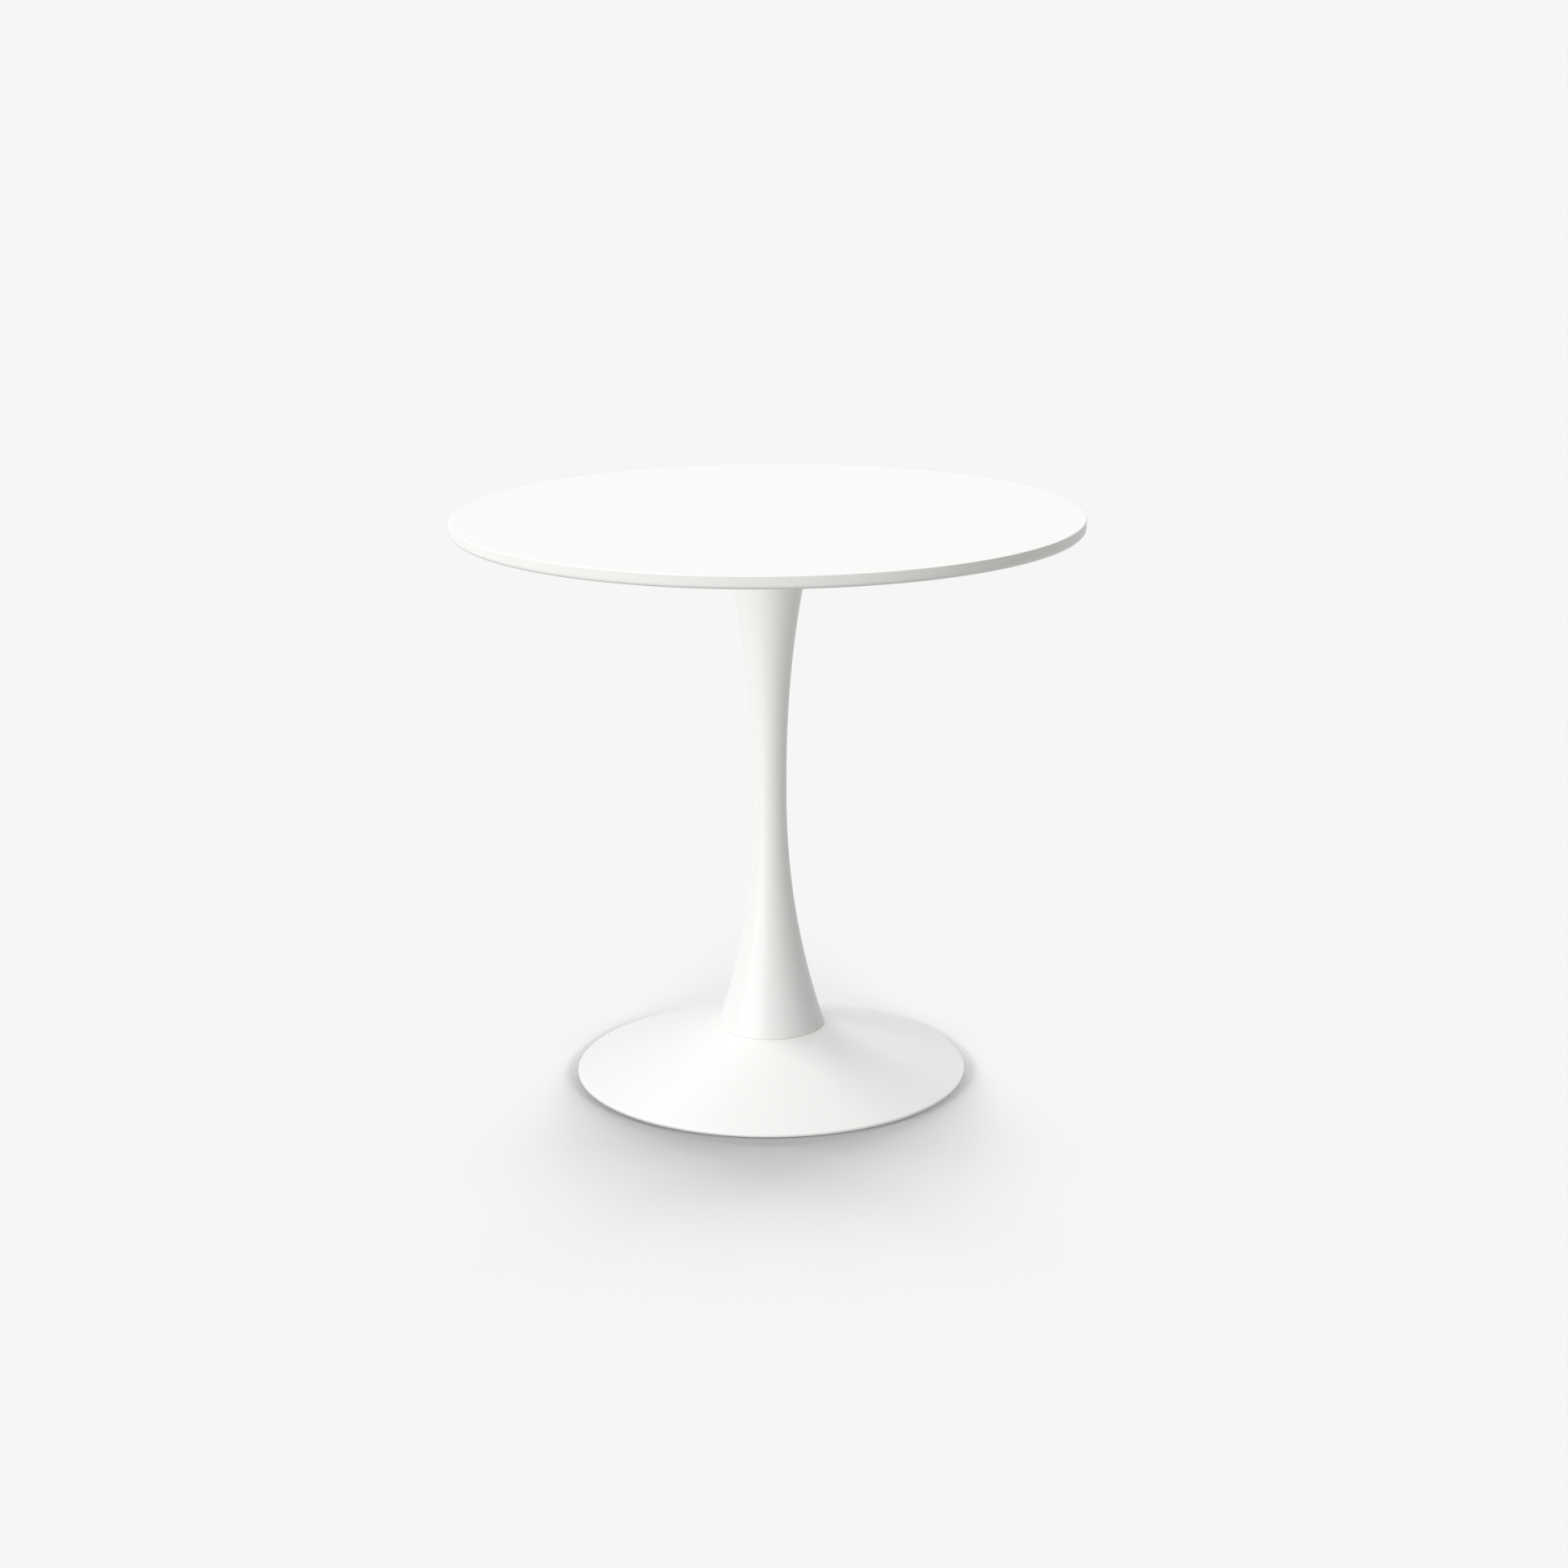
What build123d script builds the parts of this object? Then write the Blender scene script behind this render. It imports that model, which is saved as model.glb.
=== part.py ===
from build123d import *
import math
import os

# A round pedestal table on a trumpet stem, in millimetres. +Z is up, and the origin is on
# the floor under the middle of the top. One long rod down the stem clamps the column to a
# pressed dish and the iron casting under it. Four levelling glides screw into the casting.

# Overall
TABLE_H = 740.0  # floor to the upper face of the top
TOP_D = 800.0
BASE_D = 510.0
BASE_H = 65.0  # floor to the flat land that the stem stands on

# Top: one round board
TOP_THICK = 16.0
TOP_UPPER_R = 1.0
TOP_LOWER_R = 5.0

# Plate that carries the top, welded to the column's mouth
PLATE_D = 240.0
PLATE_THICK = 4.0
PLATE_EDGE_R = 1.0

# M6 screws up through the plate into threaded inserts
SCREW_COUNT = 6
SCREW_CIRCLE_R = 100.0
SCREW_D = 6.0
SCREW_LEN = 16.0
SCREW_HEAD_D = 12.0
SCREW_HEAD_H = 4.0
SCREW_SOCKET_FLATS = 4.0
SCREW_SOCKET_DEPTH = 2.5
SCREW_HOLE_CLEAR = 0.3
WASHER_D = 14.0
WASHER_THICK = 1.6
INSERT_D = 10.0
INSERT_LEN = 11.0
INSERT_HOLE_SPARE = 1.0  # what the hole is deeper than the insert

# Stem: a spun tube that flares to its foot and to its mouth
STEM_WALL = 2.0
STEM_WAIST_R = 21.8
STEM_WAIST_Z = 375.0
STEM_FOOT_R = 70.0
STEM_FOOT_POWER = 2.1
STEM_MOUTH_R = 60.0
STEM_MOUTH_POWER = 2.25
STEM_SPANS = 6  # spans of the curve on each side of the waist
RING_THICK = 4.0
TOP_RING_HOLE_R = 16.0
FOOT_RING_HOLE_R = 20.0
WELD_GAP = 0.1  # between a ring and the tube that it is welded into

# Rod, nuts and washers of the clamp
ROD_D = 12.0
ROD_CHAMFER = 1.0
ROD_TOP_GAP = 0.5  # from the rod's upper end to the plate
ROD_TAIL = 3.0  # what stands out under the lower nut
NUT_FLATS = 18.0
NUT_H = 10.0
CLAMP_WASHER_D = 36.0
CLAMP_WASHER_THICK = 3.0
SPRING_WASHER_D = 21.0
SPRING_WASHER_THICK = 2.5
SPRING_WASHER_SPLIT = 2.0
ROD_HOLE_CLEAR = 0.6

# Pins that keep the column from turning on the base
PIN_COUNT = 2
PIN_D = 5.0
PIN_CIRCLE_R = 32.0
PIN_DEPTH = 10.0  # how far a pin goes into the casting

# Base shell: a pressed steel dish, turned down at its rim
BASE_WALL = 1.6
BASE_FLOOR_GAP = 3.0
BASE_LIP_H = 3.0
BASE_RIM_BEND_R = 2.5
BASE_LAND_BEND_R = 6.0
LAND_MARGIN = 2.0  # how far the land reaches past the stem's foot

# Ballast casting: an iron dish with a boss, four ribs and four lugs
CAST_GAP = 1.5  # from the shell's inner face to the casting, away from the seat
CAST_THICK = 7.5
CAST_RIM_INSET = 40.0
SEAT_R = 60.0
BOSS_R = 42.0
BOSS_H = 30.0
RIB_THICK = 7.0
RIB_RISE = 4.0  # how far the ribs stay above the boss's and the lugs' lower faces
LUG_R = 13.0

# Levelling glides: a stud that screws into a lug and turns in a nylon pad
GLIDE_COUNT = 4
GLIDE_INSET = 65.0
STUD_D = 8.0
STUD_CHAMFER = 0.8
STUD_SHELL_CLEAR = 1.4  # from the stud's upper end to the shell
COLLAR_FLATS = 13.0
COLLAR_H = 3.0
COLLAR_PAD_GAP = 0.4
NECK_R = 5.0
HEAD_R = 8.0
HEAD_H = 2.6
PAD_D = 36.0
PAD_H = 6.0
PAD_FLOOR = 2.0  # nylon under the stud's head
PAD_EDGE_R = 1.2
NECK_CLEAR = 0.3

# Fits
THREAD_CLEAR = 0.1  # radial, between a thread's plain cylinder and its hole
PRESS_CLEAR = 0.05  # radial, round inserts and pins
HEAD_CLEAR = 0.1  # round and over a stud's head in its pad

# Worked out
under_top = TABLE_H - TOP_THICK
mouth_z = under_top - PLATE_THICK
base_r = BASE_D / 2
land_r = STEM_FOOT_R + LAND_MARGIN
lip_top = BASE_FLOOR_GAP + BASE_LIP_H
slope = math.atan2(BASE_H - lip_top, base_r - land_r)
seat_z = BASE_H - BASE_WALL
boss_low = seat_z - BOSS_H
cast_r = base_r - CAST_RIM_INSET
cast_top_depth = BASE_WALL + CAST_GAP
glide_r = base_r - GLIDE_INSET
collar_low = PAD_H + COLLAR_PAD_GAP
lug_low = collar_low + COLLAR_H
head_low = PAD_FLOOR + HEAD_CLEAR
rod_hole_r = ROD_D / 2 + ROD_HOLE_CLEAR
clamp_washer_low = boss_low - CLAMP_WASHER_THICK
spring_washer_low = clamp_washer_low - SPRING_WASHER_THICK
tie_nut_low = spring_washer_low - NUT_H


def outline(*points):
    """Points (radius, height) set in the half-plane that is turned round the Z axis."""
    return [(radius, 0, height) for radius, height in points]


def turned(*lines):
    """The solid that a closed outline sweeps round the Z axis."""
    edges = [edge for line in lines for edge in line.edges()]
    return revolve(make_face(edges), Axis.Z)


def turned_shape(*points):
    """A turned solid whose outline is straight from each point to the next."""
    return turned(Polyline(*outline(*points), close=True))


def ring(inner_r, outer_r, low, high):
    return turned_shape((inner_r, low), (outer_r, low), (outer_r, high), (inner_r, high))


def disc(radius, low, high):
    return Pos(0, 0, low) * Cylinder(radius, high - low, align=(Align.CENTER, Align.CENTER, Align.MIN))


def hexagon(flats, low, high):
    """A hexagonal prism, measured across its flats."""
    return Pos(0, 0, low) * extrude(RegularPolygon(flats / 2, 6, major_radius=False), high - low)


def around(piece, count, radius, first_angle=0.0):
    """Copies of a piece, evenly spaced on a circle about the Z axis."""
    return [place * piece for place in PolarLocations(radius, count, first_angle)]


def cut_all(piece, cutters):
    for cutter in cutters:
        piece = piece - cutter
    return piece


def stem_radius(z):
    """The stem's outer radius at a height."""
    if z < STEM_WAIST_Z:
        share = (STEM_WAIST_Z - z) / (STEM_WAIST_Z - BASE_H)
        return STEM_WAIST_R + (STEM_FOOT_R - STEM_WAIST_R) * share**STEM_FOOT_POWER
    share = (z - STEM_WAIST_Z) / (mouth_z - STEM_WAIST_Z)
    return STEM_WAIST_R + (STEM_MOUTH_R - STEM_WAIST_R) * share**STEM_MOUTH_POWER


def stem_curve(depth):
    """The stem's side from foot to mouth, a depth inside its outer face."""
    down = [BASE_H + (STEM_WAIST_Z - BASE_H) * n / STEM_SPANS for n in range(STEM_SPANS)]
    up = [STEM_WAIST_Z + (mouth_z - STEM_WAIST_Z) * n / STEM_SPANS for n in range(STEM_SPANS + 1)]
    return Spline(*outline(*((stem_radius(z) - depth, z) for z in down + up)))


def dish_z(radius, depth):
    """The height of the dish's slope at a radius, a depth under its outer face."""
    return lip_top + (base_r - radius) * math.tan(slope) - depth / math.cos(slope)


def dish_corner(depth):
    """Where the dish's land meets its slope, a depth under its outer face."""
    height = BASE_H - depth
    rise = height - lip_top + depth / math.cos(slope)
    return base_r - rise / math.tan(slope), height


def dish_side(depth):
    """The dish from its centre hole over the land and slope to the lip's lower edge."""
    bends = [BASE_LAND_BEND_R - depth, BASE_RIM_BEND_R - depth]
    lip_r = base_r - depth
    points = (
        (rod_hole_r, BASE_H - depth),
        dish_corner(depth),
        (lip_r, dish_z(lip_r, depth)),
        (lip_r, BASE_FLOOR_GAP),
    )
    return FilletPolyline(*outline(*points), radius=bends)


def pin_hole(low, high):
    """The holes that the locating pins pass through, between two heights."""
    return around(disc(PIN_D / 2, low, high), PIN_COUNT, PIN_CIRCLE_R)


def table_top():
    radius = TOP_D / 2
    side = FilletPolyline(
        *outline((0, under_top), (radius, under_top), (radius, TABLE_H), (0, TABLE_H)),
        radius=[TOP_LOWER_R, TOP_UPPER_R],
    )
    board = turned(side, Line(*outline((0, TABLE_H), (0, under_top))))
    hole = disc(INSERT_D / 2, under_top, under_top + INSERT_LEN + INSERT_HOLE_SPARE)
    return cut_all(board, around(hole, SCREW_COUNT, SCREW_CIRCLE_R))


def threaded_inserts():
    insert = ring(SCREW_D / 2, INSERT_D / 2 - PRESS_CLEAR, under_top, under_top + INSERT_LEN)
    return around(insert, SCREW_COUNT, SCREW_CIRCLE_R)


def top_plate():
    plate = disc(PLATE_D / 2, mouth_z, under_top)
    plate = fillet(plate.edges().filter_by(GeomType.CIRCLE), PLATE_EDGE_R)
    hole = disc(SCREW_D / 2 + SCREW_HOLE_CLEAR, mouth_z, under_top)
    return cut_all(plate, around(hole, SCREW_COUNT, SCREW_CIRCLE_R))


def screw_washers():
    washer = ring(SCREW_D / 2 + SCREW_HOLE_CLEAR, WASHER_D / 2, mouth_z - WASHER_THICK, mouth_z)
    return around(washer, SCREW_COUNT, SCREW_CIRCLE_R)


def top_screws():
    """Pan-head screws with a hexagon socket, heads down."""
    seat = mouth_z - WASHER_THICK
    head = disc(SCREW_HEAD_D / 2, seat - SCREW_HEAD_H, seat)
    head = fillet(head.edges().sort_by(Axis.Z)[0], SCREW_HEAD_H / 3)
    shank = disc(SCREW_D / 2 - THREAD_CLEAR, seat, seat + SCREW_LEN)
    socket_low = seat - SCREW_HEAD_H
    socket = hexagon(SCREW_SOCKET_FLATS, socket_low, socket_low + SCREW_SOCKET_DEPTH)
    return around(head + shank - socket, SCREW_COUNT, SCREW_CIRCLE_R)


def stem_shell():
    outer = stem_curve(0.0)
    inner = stem_curve(STEM_WALL)
    return turned(outer, inner, Line(outer @ 0, inner @ 0), Line(outer @ 1, inner @ 1))


def stem_ring(hole_r, low, high):
    """A disc that closes an end of the stem, with its edge cut to the tube's flare."""
    inset = STEM_WALL + WELD_GAP
    low_r = stem_radius(low) - inset
    high_r = stem_radius(high) - inset
    return turned_shape((hole_r, low), (low_r, low), (high_r, high), (hole_r, high))


def stem_top_ring():
    return stem_ring(TOP_RING_HOLE_R, mouth_z - RING_THICK, mouth_z)


def stem_foot_ring():
    high = BASE_H + RING_THICK
    return cut_all(stem_ring(FOOT_RING_HOLE_R, BASE_H, high), pin_hole(BASE_H, high))


def nut(low):
    """A hexagon nut with both faces chamfered to the width of its flats."""
    body = hexagon(NUT_FLATS, low, low + NUT_H)
    corner_r = NUT_FLATS / math.sqrt(3)
    bevel = (corner_r - NUT_FLATS / 2) * math.tan(math.radians(30))
    high = low + NUT_H
    envelope = turned_shape(
        (ROD_D / 2, low),
        (NUT_FLATS / 2, low),
        (corner_r, low + bevel),
        (corner_r, high - bevel),
        (NUT_FLATS / 2, high),
        (ROD_D / 2, high),
    )
    return body & envelope


def plate_nut():
    return nut(mouth_z - NUT_H)


def tie_nut():
    return nut(tie_nut_low)


def tie_rod():
    low = tie_nut_low - ROD_TAIL
    rod = disc(ROD_D / 2 - THREAD_CLEAR, low, mouth_z - ROD_TOP_GAP)
    return chamfer(rod.edges().filter_by(GeomType.CIRCLE), ROD_CHAMFER)


def clamp_washer():
    return ring(rod_hole_r, CLAMP_WASHER_D / 2, clamp_washer_low, boss_low)


def spring_washer():
    washer = ring(rod_hole_r, SPRING_WASHER_D / 2, spring_washer_low, clamp_washer_low)
    middle = spring_washer_low + SPRING_WASHER_THICK / 2
    split = Pos(SPRING_WASHER_D / 2, 0, middle) * Rot(X=30)
    return washer - split * Box(SPRING_WASHER_D, SPRING_WASHER_SPLIT, 3 * SPRING_WASHER_THICK)


def locating_pins():
    pin = disc(PIN_D / 2 - PRESS_CLEAR, seat_z - PIN_DEPTH, BASE_H + RING_THICK)
    return around(pin, PIN_COUNT, PIN_CIRCLE_R)


def base_shell():
    outer = dish_side(0.0)
    inner = dish_side(BASE_WALL)
    shell = turned(outer, inner, Line(outer @ 0, inner @ 0), Line(outer @ 1, inner @ 1))
    return cut_all(shell, pin_hole(seat_z, BASE_H))


def ballast_casting():
    """The iron under the dish, which the rod pulls up against the land."""
    top, under = cast_top_depth, cast_top_depth + CAST_THICK
    casting = turned_shape(
        (rod_hole_r, boss_low),
        (BOSS_R, boss_low),
        (BOSS_R, BASE_H - under),
        dish_corner(under),
        (cast_r, dish_z(cast_r, under)),
        (cast_r, dish_z(cast_r, top)),
        dish_corner(top),
        (SEAT_R, BASE_H - top),
        (SEAT_R, seat_z),
        (rod_hole_r, seat_z),
    )
    for arm in around(casting_arm((top + under) / 2), GLIDE_COUNT, 0, 45):
        casting = casting + arm
    holes = around(disc(STUD_D / 2, 0, BASE_H), GLIDE_COUNT, glide_r, 45)
    return cut_all(casting, holes + pin_hole(seat_z - PIN_DEPTH, seat_z))


def casting_arm(depth):
    """A rib with its lug, from the boss outwards, with its top in the dish's thickness."""
    rib_side = Polyline(
        *outline(
            (BOSS_R / 2, boss_low + RIB_RISE),
            (glide_r, lug_low + RIB_RISE),
            (glide_r, BASE_H),
            (BOSS_R / 2, BASE_H),
        ),
        close=True,
    )
    rib = extrude(make_face(rib_side), RIB_THICK / 2, both=True)
    lug = Pos(glide_r, 0, 0) * disc(LUG_R, lug_low, BASE_H)
    room = turned_shape(
        (0, 0), (cast_r, 0), (cast_r, dish_z(cast_r, depth)), dish_corner(depth), (0, BASE_H - depth)
    )
    return (rib + lug) & room


def glide_stud():
    """Head, neck, spanner collar and thread on one axis, at the origin."""
    thread_r = STUD_D / 2 - THREAD_CLEAR
    head_top = head_low + HEAD_H
    top = dish_z(glide_r + STUD_D / 2, BASE_WALL) - STUD_SHELL_CLEAR
    spindle = turned_shape(
        (0, head_low),
        (HEAD_R, head_low),
        (HEAD_R, head_top),
        (NECK_R, head_top),
        (NECK_R, collar_low),
        (thread_r, collar_low),
        (thread_r, top - STUD_CHAMFER),
        (thread_r - STUD_CHAMFER, top),
        (0, top),
    )
    return spindle + hexagon(COLLAR_FLATS, collar_low, lug_low)


def glide_pad():
    """A nylon foot with a pocket that holds the stud's head, at the origin."""
    body = disc(PAD_D / 2, 0, PAD_H)
    body = fillet(body.edges().filter_by(GeomType.CIRCLE), PAD_EDGE_R)
    pocket_top = head_low + HEAD_H + HEAD_CLEAR
    pocket = disc(HEAD_R + HEAD_CLEAR, PAD_FLOOR, pocket_top)
    mouth = disc(NECK_R + NECK_CLEAR, pocket_top, PAD_H)
    return body - pocket - mouth


NODES = {
    "table_top": table_top,
    "threaded_inserts": threaded_inserts,
    "top_plate": top_plate,
    "top_screws": top_screws,
    "screw_washers": screw_washers,
    "plate_nut": plate_nut,
    "stem_shell": stem_shell,
    "stem_top_ring": stem_top_ring,
    "stem_foot_ring": stem_foot_ring,
    "tie_rod": tie_rod,
    "base_shell": base_shell,
    "ballast_casting": ballast_casting,
    "locating_pins": locating_pins,
    "clamp_washer": clamp_washer,
    "spring_washer": spring_washer,
    "tie_nut": tie_nut,
}


def save(name, made):
    pieces = made if isinstance(made, list) else [made]
    solids = [solid for piece in pieces for solid in piece.solids()]
    export_step(Compound(children=solids), f"parts/{name}.step")
    print(f"{name}: {len(solids)} solid(s), {sum(s.volume for s in solids):.0f} mm3")


os.makedirs("parts", exist_ok=True)
for name, make in NODES.items():
    save(name, make())
for name, make in {"glide_stud": glide_stud, "glide_pad": glide_pad}.items():
    for number, piece in enumerate(around(make(), GLIDE_COUNT, glide_r, 45), 1):
        save(f"{name}_{number}", piece)
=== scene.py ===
# %% [markdown]
# # A round pedestal table
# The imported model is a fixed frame: every piece of this scene takes its place and its outer size
# from it. The pieces that show are made again here with fine, smooth meshes, because a packed
# model is cut into flat facets that catch the light. What stays hidden inside keeps its own mesh
# and only gets a finish.

# %% Load the frame
import math

import bmesh
import bpy
from mathutils import Matrix, Vector


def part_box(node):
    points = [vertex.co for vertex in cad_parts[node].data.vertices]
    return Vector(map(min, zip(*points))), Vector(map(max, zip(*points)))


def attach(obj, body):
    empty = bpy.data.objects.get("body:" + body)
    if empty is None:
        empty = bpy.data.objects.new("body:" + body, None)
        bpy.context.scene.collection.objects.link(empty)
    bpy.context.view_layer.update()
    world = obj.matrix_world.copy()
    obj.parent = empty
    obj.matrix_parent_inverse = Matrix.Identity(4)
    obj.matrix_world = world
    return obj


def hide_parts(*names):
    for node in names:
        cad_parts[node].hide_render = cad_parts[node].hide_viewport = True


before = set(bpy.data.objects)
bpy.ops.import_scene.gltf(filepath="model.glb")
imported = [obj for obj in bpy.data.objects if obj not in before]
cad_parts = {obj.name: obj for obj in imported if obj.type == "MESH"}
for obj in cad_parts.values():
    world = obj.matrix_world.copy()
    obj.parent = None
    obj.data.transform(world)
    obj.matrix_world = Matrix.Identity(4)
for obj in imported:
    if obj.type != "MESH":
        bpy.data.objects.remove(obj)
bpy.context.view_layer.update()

# %% [markdown]
# ## Sizes
# The frame says where each piece starts and ends. What it can't say, such as how round an edge
# is or which curve the stem follows, is named here once, in metres.

# %% Sizes
MM = 0.001
EDGE_ANGLE = math.radians(30)

board_low, board_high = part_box("table_top")
plate_low, plate_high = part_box("top_plate")
stem_low, stem_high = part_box("stem_shell")
dish_low, dish_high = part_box("base_shell")
cast_low, cast_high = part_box("ballast_casting")
nut_low, nut_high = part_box("tie_nut")
rod_low, rod_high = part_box("tie_rod")

BOARD_UPPER_R = 1.0 * MM
BOARD_LOWER_R = 5.0 * MM
PLATE_EDGE_R = 1.0 * MM

STEM_WALL = 2.0 * MM
STEM_WAIST_R = 21.8 * MM
STEM_WAIST_Z = 375.0 * MM
STEM_MOUTH_R = 60.0 * MM
STEM_FOOT_POWER = 2.1
STEM_MOUTH_POWER = 2.25
STEM_END_R = 0.7 * MM

DISH_WALL = 1.6 * MM
DISH_LIP = 3.0 * MM
DISH_LAND_MARGIN = 2.0 * MM
DISH_RIM_BEND_R = 2.5 * MM
DISH_LAND_BEND_R = 6.0 * MM
DISH_CUT_R = 0.35 * MM

SCREW_COUNT = 6
SCREW_CIRCLE_R = 100.0 * MM
SCREW_HEAD_R = 6.0 * MM
SCREW_HEAD_H = 4.0 * MM
SCREW_SOCKET_FLATS = 4.0 * MM
SCREW_SOCKET_DEPTH = 2.5 * MM
STUD_COLLAR_TOP = 7.3 * MM  # above the stud's foot, where the collar meets its lug
M6_R, M6_PITCH = 2.9 * MM, 1.0 * MM
M8_R, M8_PITCH = 3.9 * MM, 1.25 * MM
M12_R, M12_PITCH = 5.9 * MM, 1.75 * MM
ROD_HOLE_R = M12_R + 0.7 * MM
SCREW_HOLE_R = M6_R + 0.4 * MM
THREAD_DEPTH_SHARE = 0.61  # of the pitch, as on any metric thread

pad_low, pad_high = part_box("glide_pad_1")
glide_at = (pad_low + pad_high) / 2
print(f"top {2000 * board_high.x:.0f} mm across, {1000 * board_high.z:.0f} mm high")
print(f"base {2000 * dish_high.x:.0f} mm across, stem foot {2000 * stem_high.x:.0f} mm across")

# %% [markdown]
# ## The camera
# A camera at standing eye height, a little over a metre and a half up and nearly four metres
# away, looks gently down on the table with a long lens, which keeps the circles calm. Its turn is
# built from three angles: how far it looks down, how far it looks aside, and how it leans.

# %% Camera
CAMERA_AT = Vector((0.0, -3.8149, 1.4148))
CAMERA_DOWN = math.radians(15.055)
CAMERA_ASIDE = math.radians(0.279)
CAMERA_LEAN = math.radians(-0.318)
CAMERA_LENS_MM = 70.38

camera = bpy.data.objects.new("camera", bpy.data.cameras.new("camera"))
camera.data.lens = CAMERA_LENS_MM
camera.data.sensor_width = 36.0
camera.data.clip_end = 1000.0
aim = Matrix.Rotation(-CAMERA_ASIDE, 4, "Z") @ Matrix.Rotation(math.pi / 2 - CAMERA_DOWN, 4, "X")
camera.matrix_world = Matrix.Translation(CAMERA_AT) @ aim @ Matrix.Rotation(CAMERA_LEAN, 4, "Z")
bpy.context.scene.collection.objects.link(camera)
bpy.context.scene.camera = camera
print(f"camera {CAMERA_AT.length:.2f} m from the origin, {CAMERA_LENS_MM} mm lens")

# %% [markdown]
# ## Node trees as sentences
# A material or a geometry tree is a web of small nodes, and wiring each by hand hides the idea.
# This class wraps one socket, so that `a * b + 1` adds the Math nodes that it says. Every other
# node comes from one method, which sets the node's own settings first and its sockets after.

# %% A socket that can be calculated with
def pick(sockets, key):
    """The socket of that number, or the first one in use with that name."""
    if isinstance(key, int):
        return sockets[key]
    return next(s for s in sockets if s.name == key and s.enabled)


class Wire:
    """One output socket of a tree, or just the tree when there is nothing to wire yet."""

    def __init__(self, tree, socket=None):
        self.tree = tree
        self.socket = socket

    def node(self, kind, settings=None, values=None, output=0):
        made = self.tree.nodes.new(kind)
        for name, value in (settings or {}).items():
            setattr(made, name, value)
        for key, value in (values or {}).items():
            self.feed(pick(made.inputs, key), value)
        return Wire(self.tree, pick(made.outputs, output)) if made.outputs else made

    def feed(self, socket, value):
        if isinstance(value, Wire):
            self.tree.links.new(value.socket, socket)
        else:
            socket.default_value = value

    def maths(self, operation, *terms):
        return self.node("ShaderNodeMath", {"operation": operation}, dict(enumerate(terms)))

    def __add__(self, other):
        return self.maths("ADD", self, other)

    def __sub__(self, other):
        return self.maths("SUBTRACT", self, other)

    def __rsub__(self, other):
        return self.maths("SUBTRACT", other, self)

    def __mul__(self, other):
        return self.maths("MULTIPLY", self, other)

    def __truediv__(self, other):
        return self.maths("DIVIDE", self, other)

    def __pow__(self, other):
        return self.maths("POWER", self, other)

    __radd__, __rmul__ = __add__, __mul__

    def axis(self, name):
        return self.node("ShaderNodeSeparateXYZ", None, {0: self}, name)

    def step_up(self, low, high):
        """0 under low, 1 over high, and a smooth rise between them."""
        settings = {"interpolation_type": "SMOOTHSTEP"}
        values = {"Value": self, "From Min": low, "From Max": high}
        return self.node("ShaderNodeMapRange", settings, values)

    def blend(self, colour_a, colour_b):
        """colour_a where this is 0, and colour_b where it is 1."""
        values = {0: self, "A": colour_a, "B": colour_b}
        return self.node("ShaderNodeMix", {"data_type": "RGBA"}, values, "Result")


print("node helper ready")

# %% [markdown]
# ## Turned meshes
# Most of this table is round: a board from a router, a dish from a press, pads and washers from a
# lathe. One function turns an outline round an upright axis. A radius may also be a function of
# the angle, so the same turning makes a hexagon, and a nut's chamfer falls out of it. The corners
# of an outline are rounded by another function, which also sets a close guard point on each side
# of a bend, so that smooth shading stays inside the bend and the flats stay flat.

# %% Outlines and turning
GUARD = 0.25  # a guard point's distance from its bend, as a share of the bend's radius
LONGEST_RUN = 30 * MM


def rounded(corners, steps=6, closed=True):
    """Points (radius, height) of an outline whose corners (radius, height, bend) are rounded."""
    points = []
    count = len(corners)
    for n, (r, z, bend) in enumerate(corners):
        here = Vector((r, z))
        if bend == 0 or (not closed and n in (0, count - 1)):
            points.append(here)
            continue
        to_last = (Vector(corners[n - 1][:2]) - here).normalized()
        to_next = (Vector(corners[(n + 1) % count][:2]) - here).normalized()
        half = to_last.angle(to_next) / 2
        reach = bend / math.tan(half)
        middle = here + (to_last + to_next).normalized() * bend / math.sin(half)
        first = here + to_last * reach - middle
        last = here + to_next * reach - middle
        turn = math.atan2(first.x * last.y - first.y * last.x, first.dot(last))
        points.append(middle + first + to_last * bend * GUARD)
        for step in range(steps + 1):
            points.append(middle + Matrix.Rotation(turn * step / steps, 2) @ first)
        points.append(middle + last + to_next * bend * GUARD)
    return with_short_runs(points, closed)


def with_short_runs(points, closed):
    """The same outline, with its long straight runs cut into shorter ones."""
    ends = points[1:] + points[:1] if closed else points[1:]
    short = []
    for a, b in zip(points, ends):
        pieces = max(1, math.ceil((b - a).length / LONGEST_RUN))
        short += [tuple(a.lerp(b, n / pieces)) for n in range(pieces)]
    return short if closed else short + [tuple(points[-1])]


def at_angle(value, angle):
    """A radius or height that may depend on the angle."""
    return value(angle) if callable(value) else value


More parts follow.
